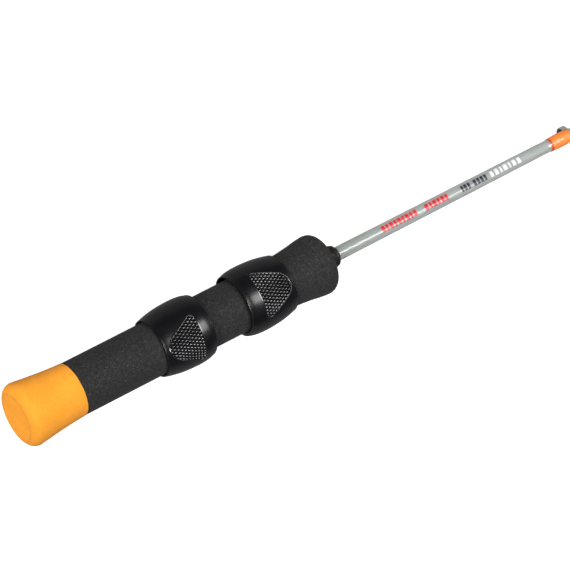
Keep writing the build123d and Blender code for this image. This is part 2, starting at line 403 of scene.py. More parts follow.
def clear_coat():
    """Clear epoxy that only adds its own shine to what it covers."""
    n = Nodes("clear_epoxy")
    n.tree.nodes.remove(n.shader)
    waves = n.noise(420.0, detail=2.0)
    gloss = n.add("ShaderNodeBsdfGlossy")
    set_inputs(gloss, Roughness=0.34, Color=(0.09, 0.09, 0.09, 1.0))
    n.link(n.relief([(waves, 0.08, 0.05)]), gloss.inputs["Normal"])
    see = n.add("ShaderNodeBsdfTransparent")
    n.link(n.between(waves, (0.985, 0.975, 0.95), (1.0, 0.995, 0.985)), see.inputs["Color"])
    both = n.add("ShaderNodeAddShader")
    n.link(see.outputs["BSDF"], both.inputs[0])
    n.link(gloss.outputs["BSDF"], both.inputs[1])
    n.link(both.outputs["Shader"], n.tree.nodes["Material Output"].inputs["Surface"])
    return n.material


def guide_metal():
    """Brushed, slightly stained steel."""
    n = Nodes("guide_metal")
    brush = n.streaks((900.0, 4200.0, 4200.0), detail=4.0, roughness=0.7)
    stain = n.noise(500.0)
    n.colour(n.between(stain, (0.66, 0.645, 0.65), (0.80, 0.785, 0.79)))
    n.roughness(brush, 0.28, 0.46)
    n.bump([(brush, 0.01, 0.25)])
    n.set(Metallic=0.7)
    return n.material


def guide_ceramic():
    """Dark polished ceramic."""
    n = Nodes("guide_ceramic")
    cloud = n.noise(900.0)
    n.colour(n.between(cloud, (0.045, 0.047, 0.052), (0.075, 0.077, 0.082)))
    n.roughness(cloud, 0.10, 0.18)
    n.bump([(cloud, 0.004, 0.2)])
    n.set(Specular_IOR_Level=0.7, Coat_Weight=0.4, Coat_Roughness=0.05)
    return n.material


def marking_ink(name, dark, light):
    """Pad-printed ink: slightly thin and uneven where it meets the fibres."""
    n = Nodes(name)
    wear = n.streaks((900.0, 3200.0, 3200.0), detail=4.0, roughness=0.7)
    n.colour(n.ramp(wear, [(0.30, light), (0.52, dark)]))
    n.roughness(wear, 0.42, 0.30)
    n.bump([(wear, 0.006, 0.2)])
    n.set(Specular_IOR_Level=0.35, Coat_Weight=0.4, Coat_Roughness=0.08)
    return n.material


def glue_line():
    """Cloudy amber glue."""
    n = Nodes("glue")
    cloud = n.noise(700.0)
    n.colour(n.between(cloud, (0.50, 0.42, 0.24), (0.66, 0.58, 0.38)))
    n.roughness(cloud, 0.3, 0.5)
    return n.material


def floor_paper():
    """White paper that glows, so that it stays pale under the soft light."""
    n = Nodes("floor_paper")
    fibre = n.noise(900.0, detail=4.0, roughness=0.6)
    n.colour(n.between(fibre, (0.42, 0.42, 0.42), (0.46, 0.46, 0.46)))
    n.roughness(fibre, 0.9, 0.8)
    n.set(Specular_IOR_Level=0.0, Emission_Color=(1.0, 1.0, 1.0, 1.0), Emission_Strength=0.88)
    return n.material


# the orange foam's last colour is painted shade for the crease at the edge of the cap's flat end
orange_foam = foam("orange_foam", dark=(0.93, 0.332, 0.022), mid=(0.98, 0.368, 0.028),
                   light=(1.0, 0.405, 0.038), speck=(0.80, 0.28, 0.02), speck_share=0.030,
                   pale_speck=(1.0, 0.46, 0.07), sheen=0.03, shine=0.16, crease_shade=(0.60, 0.20, 0.03))
charcoal_foam = foam("charcoal_foam", dark=(0.0066, 0.0064, 0.0064), mid=(0.0158, 0.0153, 0.0151),
                     light=(0.0352, 0.0341, 0.0334), speck=(0.115, 0.047, 0.020), speck_share=0.045,
                     pale_speck=(0.110, 0.107, 0.103), sheen=0.03, shine=0.26)
plastic = moulded_plastic("ring_plastic", smooth=0.26, rough=0.33, specular=0.5)
grip_plastic = moulded_plastic("ring_pad_plastic", smooth=0.18, rough=0.22, specular=1.0)
rubber = check_rubber()
fibre = glass_fibre()
orange_thread = winding_thread("orange_thread", (0.95, 0.18, 0.022), (1.0, 0.27, 0.045), (1.0, 0.36, 0.08))
dark_thread = winding_thread("dark_thread", (0.50, 0.060, 0.020), (0.66, 0.090, 0.030),
                             (0.80, 0.130, 0.045))
epoxy = clear_coat()
metal = guide_metal()
ceramic = guide_ceramic()
red_ink = marking_ink("red_ink", (0.62, 0.006, 0.012), (0.70, 0.05, 0.055))
navy_ink = marking_ink("navy_ink", (0.012, 0.016, 0.030), (0.06, 0.07, 0.09))
white_ink = marking_ink("white_ink", (0.74, 0.76, 0.77), (0.58, 0.62, 0.60))
glue = glue_line()

# ---- grip --------------------
CAP_END = 29.0
GRIP_END = 165.2
CHECK_END = 172.2
ROD_LENGTH = 580.0
BLANK_START = 12.0              # how far the blank stops short of the butt face
BLANK_RADIUS = 3.3              # at the grip
TIP_RADIUS = 0.95
TAPER = 0.001                   # millimetres of radius for each millimetre at the grip
GRIP_RADIUS = 12.5
GRIP_SEGMENTS = 160


def blank_radius(x):
    """Radius of the blank, which thins faster towards the tip."""
    run = max(0.0, x - CHECK_END)
    full_run = ROD_LENGTH - CHECK_END
    quickening = (BLANK_RADIUS - TIP_RADIUS - TAPER * full_run) / full_run**2
    return BLANK_RADIUS - TAPER * run - quickening * run**2


def butt_cap():
    face, face_edge, bend_radius = 0.10, 10.7, 4.3      # the flat face is a little sunk inside its edge
    edge = [(face, 2.2 * k) for k in range(5)] + [(face, 10.2), (0.075, 10.4), (0.0, face_edge)]
    for k in range(1, 15):
        bend = radians(97.0 * k / 14)
        edge.append((bend_radius * (1 - cos(bend)), face_edge + bend_radius * sin(bend)))
    side = flowing([edge[-1], (12.0, 14.07), (20.0, 13.22), (CAP_END - 0.35, 12.62)], -0.123, -0.05)
    seam = [(CAP_END - 0.12, 12.55), (CAP_END, 12.3), (CAP_END, BLANK_RADIUS),
            (BLANK_START, BLANK_RADIUS), (BLANK_START, 0.0)]
    add_piece("butt_cap", lathe(edge + side[1:] + seam, GRIP_SEGMENTS), orange_foam, "rod", "cap_foam")


def main_grip():
    flare_start, bore, bend_radius = 142.0, 3.5, 4.7
    bend_x, crest = GRIP_END - bend_radius, 14.42
    profile = [(CAP_END, bore), (CAP_END, 12.25), (CAP_END + 0.10, 12.44), (CAP_END + 0.3, GRIP_RADIUS)]
    profile += [(x, GRIP_RADIUS) for x in spread(CAP_END + 2, flare_start, 2.5)]
    profile += flowing([(flare_start, GRIP_RADIUS), (150.5, 13.2), (156.5, 14.08), (bend_x, crest)],
                       0.0, 0.0)[1:]
    for k in range(1, 15):
        bend = radians(90.0 * k / 14)
        profile.append((bend_x + bend_radius * sin(bend), 9.72 + bend_radius * cos(bend)))
    profile += [(GRIP_END, 7.5), (GRIP_END, 5.5), (GRIP_END, bore)]
    add_piece("main_grip", lathe(profile, GRIP_SEGMENTS, closed=True), charcoal_foam, "rod", "grip_foam")


def winding_check():
    """Collar of six ridges that get lower, then a smooth rounded end."""
    bore, root, pitch = 3.32, 6.2, 0.86
    # place along one ridge, and depth below its top
    ridge = [(0.0, 0.38), (0.08, 0.06), (0.18, 0.0), (0.40, 0.02), (0.52, 0.10), (0.60, 0.42), (0.74, 0.46)]
    profile = [(GRIP_END, bore), (GRIP_END, 6.0), (GRIP_END + 0.15, root)]
    for k in range(6):
        x = GRIP_END + 0.22 + pitch * k
        top = root - 0.10 * k - 0.02 * k * k
        profile += [(x + step, top - depth) for step, depth in ridge]
    profile += [(GRIP_END + 5.5, 4.95), (GRIP_END + 5.9, 4.85), (CHECK_END - 0.75, 4.25),
                (CHECK_END - 0.45, 4.05), (CHECK_END - 0.15, 3.78), (CHECK_END, 3.55), (CHECK_END, bore)]
    add_piece("winding_check", lathe(profile, 96, closed=True), rubber, "rod", "check_rubber", crease=60)


def blank():
    tip = ROD_LENGTH - 2.0
    profile = [(BLANK_START, 0.0), (BLANK_START, 3.0), (BLANK_START + 0.3, BLANK_RADIUS)]
    profile += [(x, blank_radius(x)) for x in spread(30.0, tip - 0.4, 6.0)]
    profile += [(tip, 0.8), (tip, 0.0)]
    add_piece("blank", lathe(profile, 64), fibre, "rod", "glass_blank")


# ---- reel rings --------------------
RING = 25.4                     # length of a ring
BORE = 12.85
BELLY = flowing([(0.6, 13.8), (4.0, 14.65), (9.0, 15.48), (16.2, 15.88), (21.5, 15.58), (24.7, 14.75)],
                0.36, -0.42, 12)
WRAP_RADIUS = 15.7              # distances round the ring, called s, are measured at this radius
PATCH_HALF = 14.2               # half of the patch of wall that is meshed around a pad
NARROW_EDGE, MOUTH_EDGE = 0.6, 24.7
PAD_TURN = 96.8                 # degrees from the pocket to the middle of a pad
PAD_CENTRE = 11.5
APEX_X, APEX_R = 8.95, 6.8      # the pad is the hull of one large round and two small ones
CORNER_X, CORNER_S, CORNER_R = 16.25, 8.9, 2.2
PAD_SIDE = (atan2(CORNER_S, CORNER_X - APEX_X)
            - asin((APEX_R - CORNER_R) / hypot(CORNER_X - APEX_X, CORNER_S)))
RIM_END = 0.62                  # how far a pad's rim reaches outside its outline
RIM_GLOSS = 0.42                # how much of that is of the pad's glossier plastic
RIB_TURN = 9.0                  # degrees from the middle of the pocket to each of its ribs


def pad_edge():
    """Outline of a pad as (x, s, normal angle), symmetric about s = 0 and starting mid-base."""
    steps = 14
    turn_over = pi / 2 + PAD_SIDE
    half = [(CORNER_X + CORNER_R, s, 0.0) for s in spread(0.0, CORNER_S, 0.75)]
    for k in range(1, steps + 1):
        a = turn_over * k / steps
        half.append((CORNER_X + CORNER_R * cos(a), CORNER_S + CORNER_R * sin(a), a))
    ax, ay = half[-1][:2]
    bx, by = APEX_X + APEX_R * cos(turn_over), APEX_R * sin(turn_over)
    for k in range(1, steps + 1):
        t = k / steps
        half.append((ax + (bx - ax) * t, ay + (by - ay) * t, turn_over))
    for k in range(1, steps + 1):
        a = turn_over + (pi - turn_over) * k / steps
        half.append((APEX_X + APEX_R * cos(a), APEX_R * sin(a), a))
    return half + [(x, -s, TURN - a) for x, s, a in half[-2:0:-1]]


def pad_inset(x, s):
    """How far a point lies inside a pad's outline; negative outside."""
    slanted = APEX_R + (x - APEX_X) * sin(PAD_SIDE) - abs(s) * cos(PAD_SIDE)
    point = APEX_R - hypot(x - APEX_X, s) if x < APEX_X else APEX_R
    return min(CORNER_X + CORNER_R - x, slanted, point if abs(s) < APEX_R else slanted)


class Ring:
    """Mesh of one reel ring. Local x runs from the narrow end to the mouth, angles start at the pocket."""

    def __init__(self):
        self.verts, self.faces, self.index = [], [], {}

    def at(self, x, turn, r):
        key = (round(x, 4), round(turn % TURN, 5) % round(TURN, 5), round(r, 4))
        if key not in self.index:
            self.index[key] = len(self.verts)
            self.verts.append((x, r, turn))
        return self.index[key]

    def quad(self, *corners):
        kept = [c for k, c in enumerate(corners) if c != corners[k - 1]]
        if len(set(kept)) > 2:
            self.faces.append(tuple(kept))

    def bridge(self, loops):
        """Faces between neighbouring loops of vertices that run round."""
        for a, b in zip(loops, loops[1:]):
            for k in range(len(a)):
                n = (k + 1) % len(a)
                self.quad(a[k], a[n], b[n], b[k])

    def stitch(self, first, second):
        """Triangles between two rings of (turn, index) that are sampled differently."""
        a, b = sorted(first), sorted(second)
        for row in (a, b):
            row.append((row[0][0] + TURN, row[0][1]))
        i = j = 0
        while i < len(a) - 1 or j < len(b) - 1:
            if j == len(b) - 1 or (i < len(a) - 1 and a[i + 1][0] <= b[j + 1][0]):
                self.quad(a[i][1], a[i + 1][1], b[j][1])
                i += 1
            else:
                self.quad(a[i][1], b[j + 1][1], b[j][1])
                j += 1


def pocket_radius(x, turn):
    """Radius of the inner wall: the bore, or the pocket that takes the reel foot, with its two ribs."""
    share = x / RING
    reach = 13.3 + (14.2 - 13.3) * share        # the pocket is round, and opens towards the mouth
    size = 8.2 + (10.6 - 8.2) * share
    centre = reach - size
    side = centre * sin(turn)
    if cos(turn) <= 0 or abs(side) >= size:
        return BORE
    r = max(BORE, centre * cos(turn) + sqrt(size**2 - side**2))
    from_rib = abs(abs(degrees(turn)) - RIB_TURN)
    rib = (1 - smooth_step(1.45, 1.95, from_rib)) * (1 - smooth_step(7.6, 8.2, x))
    return r - (r - BORE) * rib


def wrapped(turn):
    """The same turn between half a turn back and half a turn on."""
    return (turn + pi) % TURN - pi


def patch_reach(edge):
    """Where lines from a pad's middle through its rim meet the border of its patch, corners included."""
    reach = []
    for x, s, a in edge:
        dx, ds = x + RIM_END * cos(a) - PAD_CENTRE, s + RIM_END * sin(a)
        along_x = ((MOUTH_EDGE if dx > 0 else NARROW_EDGE) - PAD_CENTRE) / dx if abs(dx) > 1e-6 else 1e9
        along_s = PATCH_HALF / abs(ds) if abs(ds) > 1e-6 else 1e9
        t = min(along_x, along_s)
        reach.append([PAD_CENTRE + dx * t, ds * t])
    for cx in (NARROW_EDGE, MOUTH_EDGE):
        for cs in (-PATCH_HALF, PATCH_HALF):
            nearest = min(range(len(edge)), key=lambda k: hypot(reach[k][0] - cx, reach[k][1] - cs))
            reach[nearest] = [cx, cs]
    return reach


def ring_shell(ring):
    """Outer wall with the raised rims of both pads. Returns the turns of the vertices at its two ends."""
    edge = pad_edge()
    reach = patch_reach(edge)
    # offset from the pad's outline, height on the raised rim, height on the plain base side
    steps = [(-0.12, -0.50, -0.50), (-0.03, -0.30, -0.22), (0.0, 0.00, -0.07), (0.04, 0.14, -0.01),
             (0.11, 0.22, 0.0), (0.19, 0.25, 0.0), (0.27, 0.22, 0.0), (0.35, 0.13, 0.0),
             (0.43, 0.02, 0.0), (RIM_END, 0.0, 0.0)]
    blends = [0.1, 0.22, 0.36, 0.52, 0.68, 0.84, 1.0]
    side_rows = sorted({round(x, 5) for x, s in reach if abs(s - PATCH_HALF) < 1e-4})
    narrow, mouth = [], []
    for pad in (1, -1):
        centre = pad * radians(PAD_TURN)
        loops = []
        for d, rim, plain in steps:
            loop = []
            for x, s, a in edge:
                raised = smooth_step(0.7, 1.35, pi - abs(pi - a))
                px, ps = x + d * cos(a), s + d * sin(a)
                height = along(BELLY, px) + rim * raised + plain * (1 - raised)
                loop.append(ring.at(px, centre + ps / WRAP_RADIUS, height))
            loops.append(loop)
        for t in blends:
            loop = []
            for (x, s, a), (qx, qs) in zip(edge, reach):
                px, ps = x + RIM_END * cos(a), s + RIM_END * sin(a)
                px, ps = px + (qx - px) * t, ps + (qs - ps) * t
                if t == 1.0:
                    px, ps = round(qx, 5), qs
                loop.append(ring.at(px, centre + ps / WRAP_RADIUS, along(BELLY, px)))
            loops.append(loop)
        ring.bridge(loops)
        # the floor under the grip texture closes on one point
        hub = ring.at(PAD_CENTRE, centre, along(BELLY, PAD_CENTRE) + RIM_HUB)
        for k in range(len(edge)):
            ring.quad(hub, loops[0][k], loops[0][(k + 1) % len(edge)])
        narrow += [centre + s / WRAP_RADIUS for x, s in reach if abs(x - NARROW_EDGE) < 1e-4]
        mouth += [centre + s / WRAP_RADIUS for x, s in reach if abs(x - MOUTH_EDGE) < 1e-4]
    half = PATCH_HALF / WRAP_RADIUS
    pad_turn = radians(PAD_TURN)
    for low, high in ((-pad_turn + half, pad_turn - half), (pad_turn + half, TURN - pad_turn - half)):
        turns = spread(low, high, radians(2.4))
        for a, b in zip(turns, turns[1:]):
            for x0, x1 in zip(side_rows, side_rows[1:]):
                ring.quad(ring.at(x0, a, along(BELLY, x0)), ring.at(x1, a, along(BELLY, x1)),
                          ring.at(x1, b, along(BELLY, x1)), ring.at(x0, b, along(BELLY, x0)))
        narrow += turns
        mouth += turns
    return tidy_turns(narrow), tidy_turns(mouth)


def tidy_turns(turns):
    """The turns in order round the rod, each once."""
    out = []
    for turn in sorted(t % TURN for t in turns):
        if not out or turn - out[-1] > 1e-4:
            out.append(turn)
    if out and out[0] + TURN - out[-1] < 1e-4:
        out.pop()
    return out


def ring_lips(ring, narrow, mouth):
    """Rounded ends of the wall, then the bore with its pocket."""
    # degrees from the middle of the pocket, close together at the flanks of its ribs
    fine = [-46, -42, -38, -34, -30, -26, -22, -18, -15, -13, -12, -11.2, -10.8, -10.5, -10.0, -9, -8,
            -7.5, -7.2, -6.8, -6, -5, -3.5, -1.75]
    coarse = spread(46.0, 314.0, 4.0)[:-1]
    inner_turns = tidy_turns([radians(a) for a in coarse + fine + [-a for a in fine[1:]] + [0.0]])
    inner_rows = ([24.75] + spread(24.0, 9.0, 1.5) + [8.4, 8.2, 8.05, 7.9, 7.75, 7.6, 7.2]
                  + spread(6.0, 1.5, 0.9) + [0.72])
    steps = 12
    shape = 2 / 2.5                 # makes the rounding squarer than a half circle
    ends = []
    for turns, edge_x, tip_x, inner_x in ((narrow, NARROW_EDGE, 0.0, inner_rows[-1] - 0.02),
                                          (mouth, MOUTH_EDGE, RING, inner_rows[0] + 0.02)):
        outer_r = along(BELLY, edge_x)
        loops = [[ring.at(edge_x, t, outer_r) for t in turns]]
        for k in range(1, steps):
            bend = pi * k / steps
            across = signed_power(cos(bend), shape)
            x = edge_x + (tip_x - edge_x) * sin(bend) ** shape
            loop = []
            for t in turns:
                inner_r = pocket_radius(inner_x, wrapped(t))
                middle, half = (outer_r + inner_r) / 2, (outer_r - inner_r) / 2
                loop.append(ring.at(x, t, middle + half * across))
            loops.append(loop)
        ring.bridge(loops)
        ends.append(list(zip(turns, loops[-1])))
    rows = [[ring.at(x, t, pocket_radius(x, wrapped(t))) for t in inner_turns] for x in inner_rows]
    ring.bridge(rows)
    ring.stitch(ends[1], list(zip(inner_turns, rows[0])))
    ring.stitch(ends[0], list(zip(inner_turns, rows[-1])))


STUD_SIDE = 1.79
STUD_SLANT = radians(28.0)
STUD_FLOOR, STUD_TOP = -0.48, 0.04      # heights above the belly of the ring
STUD_HUB, RIM_HUB = -1.1, -1.3          # where the sheet and the floor below it close


def stud_sheet():
    """Grip texture of one pad in flat (x, s, height): rhombic studs cut off at the pad's outline."""
    bm = bmesh.new()
    u = Vector((cos(STUD_SLANT), sin(STUD_SLANT))) * STUD_SIDE
    v = Vector((cos(STUD_SLANT), -sin(STUD_SLANT))) * STUD_SIDE
    # half width, height and squareness of each level of a stud, from the groove up
    levels = [(0.5, 0.0, 1.0), (0.475, 0.12, 1.0), (0.43, 0.44, 0.95), (0.35, 0.65, 0.85),
              (0.27, 0.80, 0.7), (0.19, 0.90, 0.5), (0.11, 0.965, 0.3), (0.05, 0.993, 0.2)]
    count = 12
    for i in range(-12, 13):
        for j in range(-12, 13):
            middle = Vector((PAD_CENTRE, 0.0)) + u * (i + 0.5) + v * (j + 0.5)
            if not (0 < middle.x < 20.5 and abs(middle.y) < 13):      # no part of it is on the pad
                continue
            loops = []
            for half, rise, square in levels:
                loop = []
                for k in range(count):
                    a = TURN * k / count + pi / 4
                    c, s = cos(a), sin(a)
                    edge = 1 / max(abs(c), abs(s))
                    reach = half * (edge * square + 1 - square)
                    p = middle + u * (c * reach) + v * (s * reach)
                    loop.append(bm.verts.new((p.x, p.y, STUD_FLOOR + (STUD_TOP - STUD_FLOOR) * rise)))
                loops.append(loop)
            for a, b in zip(loops, loops[1:]):
                for k in range(count):
                    n = (k + 1) % count
                    bm.faces.new((a[k], a[n], b[n], b[k]))
            bm.faces.new(loops[-1])
    bmesh.ops.remove_doubles(bm, verts=bm.verts, dist=1e-4)
    # cut the sheet along the outline, then close it below with a short wall and a flat cone
    for x, s, a in pad_edge():
        normal = Vector((cos(a), sin(a), 0.0))
        bmesh.ops.bisect_plane(
            bm, geom=bm.verts[:] + bm.edges[:] + bm.faces[:], dist=1e-5, clear_outer=True,
            plane_co=Vector((x, s, 0.0)) - normal * 0.02, plane_no=normal)
    border = [e for e in bm.edges if len(e.link_faces) == 1]
    made = bmesh.ops.extrude_edge_only(bm, edges=border)["geom"]
    for vert in (g for g in made if isinstance(g, bmesh.types.BMVert)):
        vert.co.z = STUD_FLOOR - 0.04
    hub = bm.verts.new((PAD_CENTRE, 0.0, STUD_HUB))
    for edge in [e for e in bm.edges if len(e.link_faces) == 1]:
        bm.faces.new((edge.verts[0], edge.verts[1], hub))
    bmesh.ops.recalc_face_normals(bm, faces=bm.faces)
    bm.verts.index_update()
    points = [tuple(v.co) for v in bm.verts]
    faces = [tuple(v.index for v in f.verts) for f in bm.faces]
    bm.free()
    return points, faces


STUDS = stud_sheet()


def reel_ring(name, narrow_x, mouth_side, pocket_turn):
    """One ring; mouth_side is 1 where the mouth faces the tip and -1 where it faces the butt."""
    ring = Ring()
    narrow, mouth = ring_shell(ring)
    ring_lips(ring, narrow, mouth)
    points, flat_faces = STUDS
    for pad in (1, -1):
        start = len(ring.verts)
        centre = pad * radians(PAD_TURN)
        for x, s, height in points:
            ring.verts.append((x, along(BELLY, x) + height, centre + s / WRAP_RADIUS))
        ring.faces += [tuple(start + k for k in face) for face in flat_faces]
    pocket = radians(pocket_turn)
    verts = [polar(narrow_x + mouth_side * x, r, pocket + turn) for x, r, turn in ring.verts]
    piece = add_piece(name, (verts, ring.faces), plastic, name, "ring_plastic", crease=50)
    # the pads and their raised rims are the glossier of the two plastics
    piece.data.materials.append(grip_plastic)
    for face in piece.data.polygons:
        x, y, z = face.center / MM
        local = mouth_side * (x - narrow_x)
        turn = wrapped(atan2(y, z) - pocket)
        s = (abs(turn) - radians(PAD_TURN)) * WRAP_RADIUS
        if hypot(y, z) > BELLY[0][1] and pad_inset(local, s) > -RIM_GLOSS:
            face.material_index = 1


# ---- line guides --------------------
GUIDES = [(310.3, 8.0), (392.0, 6.6), (463.0, 5.6), (524.0, 4.8)]   # place and outer diameter of each band
BAND_WIDTH = 2.6                # along the rod, for the first guide
BAND, INSERT = 0.5, 0.75        # wall thickness of the metal band and of the hard ring inside it
STAND_OFF = 0.75                # between a band and the blank
FOOT_HALF, FOOT_THICK = 0.8, 0.5
WRAP_GAP = 2.6                  # from the end of a wrap to the middle of the ring
WRAP_LENGTH, TRIM_LENGTH = 10.9, 1.1
THREAD = 0.25                   # how far the crest of a thread stands above the blank
THREAD_PITCH, THREAD_HEIGHT = 0.17, 0.05
THREAD_ON_FOOT = 0.2            # thickness of thread over the corners of a foot
SINK = 0.03                     # how far a hidden face lies below the skin of the blank
COAT_BACK, COAT_FRONT = 2.5, 1.5        # how far the clear coat runs past the two ends of a wrap
TUBE_SEGMENTS = 72


def hoop(profile, centre_x, centre_z, segments):
    """A closed profile of (x, r) turned about an axis parallel to the rod's at centre_z."""
    verts, faces = lathe([(centre_x + x, r) for x, r in profile], segments, closed=True)
    return [(x, y, z + centre_z) for x, y, z in verts], faces


def joined(*parts):
    """Several meshes as one."""
    verts, faces = [], []
    for some_verts, some_faces in parts:
        start = len(verts)
        verts += some_verts
        faces += [tuple(start + k for k in face) for face in some_faces]
    return verts, faces


def band_profile(inner, outer, width, lip):
    """Closed profile of a band with rounded edges."""
    h = width / 2
    seam = (-h, (inner + outer) / 2)
    corners = [seam, (-h, inner), (h, inner), (h, outer), (-h, outer), seam]
    return rounded(corners, [lip, lip, lip, lip], 4)[:-1]


def strip(stations):
    """A bar through (x, z, half height, half width) stations with rounded edges, drawn along the rod."""
    around, squareness = 16, 0.45
    verts, rows = [], []
    for x, z, high, wide in stations:
        row = []
        for k in range(around):
            c, s = cos(TURN * k / around), sin(TURN * k / around)
            row.append((x, wide * signed_power(c, squareness), z + high * signed_power(s, squareness)))
        rows.append(add_row(verts, row))
    return verts, bridged(rows) + [tuple(rows[0]), tuple(reversed(rows[-1]))]


def hull_radius(circle, half_width, low, turn):
    """Reach of thread pulled tight over a round blank and a flat foot below it, at a turn from +Z."""
    # the tight thread is straight from the foot's lower corner to where it meets the round
    lean = atan2(half_width, low)
    touch = lean + acos(min(1.0, circle / hypot(half_width, low)))
    away = pi - abs(atan2(sin(turn), cos(turn)))
    if away <= lean:
        return low / cos(away)
    if away < touch:
        return circle / cos(touch - away)
    return circle


def wound(name, start, end, core, material, slot, foot=None, swell=0.0):
    """Thread laid turn by turn, over a guide foot (half width, depth), fuller in the middle by swell."""
    turns = max(3, round((end - start) / THREAD_PITCH))
    pitch = (end - start) / turns
    sections = [(start, None)]
    for k in range(turns):
        for t in (0.0, 0.2, 0.5, 0.8):
            sections.append((start + (k + t) * pitch, sin(pi * t)))
    sections += [(end, 0.0), (end, None)]
    verts, rows = [], []
    for x, bulge in sections:
        share = min(1.0, max(0.0, (x - start) / (end - start)))
        base = core + THREAD - THREAD_HEIGHT + swell * sin(pi * share**1.25)
        row = []
        for k in range(TUBE_SEGMENTS):
            turn = TURN * k / TUBE_SEGMENTS
            skin = base
            if foot:
                skin = hull_radius(base, foot[0] + THREAD_ON_FOOT, foot[1] + THREAD_ON_FOOT, turn)
            row.append(polar(x, core - SINK if bulge is None else skin + THREAD_HEIGHT * bulge, turn))
        rows.append(add_row(verts, row))
    add_piece(name, (verts, bridged(rows + rows[:1])), material, "rod", slot, crease=75)


def coated(name, stations, foot=None):
    """Clear coat: (x, radius) stations of its outside, with a ridge over a guide foot."""
    circle = [TURN * k / TUBE_SEGMENTS for k in range(TUBE_SEGMENTS)]
    verts, rows = [], []
    for x, r in stations:
        row = []
        for turn in circle:
            reach = r
            if foot:
                start, end, half_width, low = foot
                # the ridge rises and falls again softly
                share = (smooth_step(start - 0.8, start + 0.6, x)
                         * (1 - smooth_step(end - 0.2, end + 0.9, x)))
                reach = max(r, r + (hull_radius(r, half_width, low, turn) - r) * share)
            row.append(polar(x, reach, turn))
        rows.append(add_row(verts, row))
    for x, _ in reversed(stations):
        rows.append(add_row(verts, [polar(x, blank_radius(x) - 0.05, turn) for turn in circle]))
    add_piece(name, (verts, bridged(rows + rows[:1])), epoxy, "rod", "clear_coat", crease=60)


def hard_insert(name, band_radius, width, x, z, segments):
    """Hard ring inside a band, let into it by a hair."""
    seat = band_radius - BAND
    ring = hoop(band_profile(seat - INSERT, seat + 0.02, width, 0.26), x, z, segments)
    add_piece(name, ring, ceramic, "rod", "guide_ceramic")


def line_guide(name, ring_x, diameter):
    """A single-foot guide: band, foot and insert, then its wrap, trim and clear coat."""
    scale = sqrt(diameter / GUIDES[0][1])
    radius = diameter / 2
    width = BAND_WIDTH * scale
    wrap_end = ring_x - WRAP_GAP
    wrap_start = wrap_end - WRAP_LENGTH * scale
    trim_start, trim_end = wrap_start - TRIM_LENGTH, wrap_start + 0.1
    foot_half = FOOT_HALF * scale
    under = blank_radius(wrap_start)
    centre = -(blank_radius(ring_x) + STAND_OFF + radius)
    low = under + 0.03 + FOOT_THICK
    band_back = ring_x - width / 2
    band_top = centre + radius

    band = hoop(band_profile(radius - BAND, radius, width, 0.16), ring_x, centre, 96)
    leg = strip([
        (wrap_start + 0.8, -(under + 0.12), 0.08, foot_half * 0.8),
        (wrap_start + 1.9, -(under + 0.20), 0.17, foot_half * 0.95),
        (wrap_start + 3.0, -(under + 0.28), 0.25, foot_half),
        (wrap_end - 1.2, -(under + 0.28), 0.25, foot_half),
        (wrap_end - 0.5, -(under + 0.30), 0.25, foot_half),
        ((wrap_end + band_back) / 2, (-(under + 0.30) + band_top - 0.26) / 2, 0.24, foot_half),
        (band_back + 0.15, band_top - 0.25, 0.21, foot_half),
    ])
    add_piece(name + "_frame", joined(band, leg), metal, "rod", "guide_metal")
    hard_insert(name + "_insert", radius, width + 0.3, ring_x, centre, 96)
    wound(name + "_wrap", trim_end, wrap_end, under, orange_thread, "wrap_thread", (foot_half, low), 0.20)
    wound(name + "_trim", trim_start, trim_end, under, dark_thread, "trim_thread")
    start, end = wrap_start - COAT_BACK, wrap_end + COAT_FRONT
    crest = under + 0.60
    outline = flowing([(start, under + 0.02), (trim_start, under + 0.27), (wrap_start + 1.4, under + 0.36),
                       (wrap_start + 5.6 * scale, crest), (wrap_start + 7.6 * scale, crest + 0.01),
                       (wrap_end, under + 0.38), (end, blank_radius(end) + 0.02)], 0.3, -0.35, 10)
    coated(name + "_finish", outline, (wrap_start + 0.6, wrap_end, foot_half + 0.3, low + 0.34))


def tip_top():
    """The end guide: a tube over the tip with a ring braced below it, its wrap, trim and clear coat."""
    ring_diameter, width, tube_radius = 4.6, 1.8, 1.3
    tube_start, tube_end = 570.5, 579.0
    radius = ring_diameter / 2
    centre = -(tube_radius + radius - 0.15)
    middle = ROD_LENGTH - width / 2
    tube = lathe([(tube_end - 1.0, 0.0), (tube_end - 1.0, blank_radius(578.0))]
                 + rounded([(tube_start, blank_radius(tube_start)), (tube_start, tube_radius),
                            (tube_end, tube_radius), (tube_end, 0.0)], [0.1, 0.35]), 64)
    band = hoop(band_profile(radius - BAND, radius, width, 0.14), middle, centre, 80)
    brace = strip([(tube_end - 5.0, -tube_radius + 0.15, 0.1, 0.4),
                   (tube_end - 2.0, -tube_radius - 0.05, 0.22, 0.45),
                   (ROD_LENGTH - width + 0.3, centre + radius - 0.22, 0.2, 0.45)])
    add_piece("tip_top_frame", joined(tube, band, brace), metal, "rod", "guide_metal")
    hard_insert("tip_top_insert", radius, width, middle, centre, 80)
    wrap_start = tube_start - 7.0
    core = blank_radius(wrap_start)
    wound("tip_top_wrap", wrap_start, tube_start, core, orange_thread, "wrap_thread")
    wound("tip_top_trim", wrap_start - TRIM_LENGTH, wrap_start, core, dark_thread, "trim_thread")
    start, end = wrap_start - COAT_BACK, tube_start + COAT_FRONT
    coated("tip_top_finish", flowing([(start, blank_radius(start) + 0.02), (start + 1.4, 1.42),
                                      (start + 5.0, 1.62), (end, tube_radius + 0.02)], 0.3, -0.3, 10))


# ---- printed marks --------------------
PRINT_TURN, PRINT_HALF = 18.0, 28.0     # degrees from +Z towards +Y, and to each side of that
PRINT_TOP, PRINT_UNDER = 0.022, -0.05   # heights above the blank


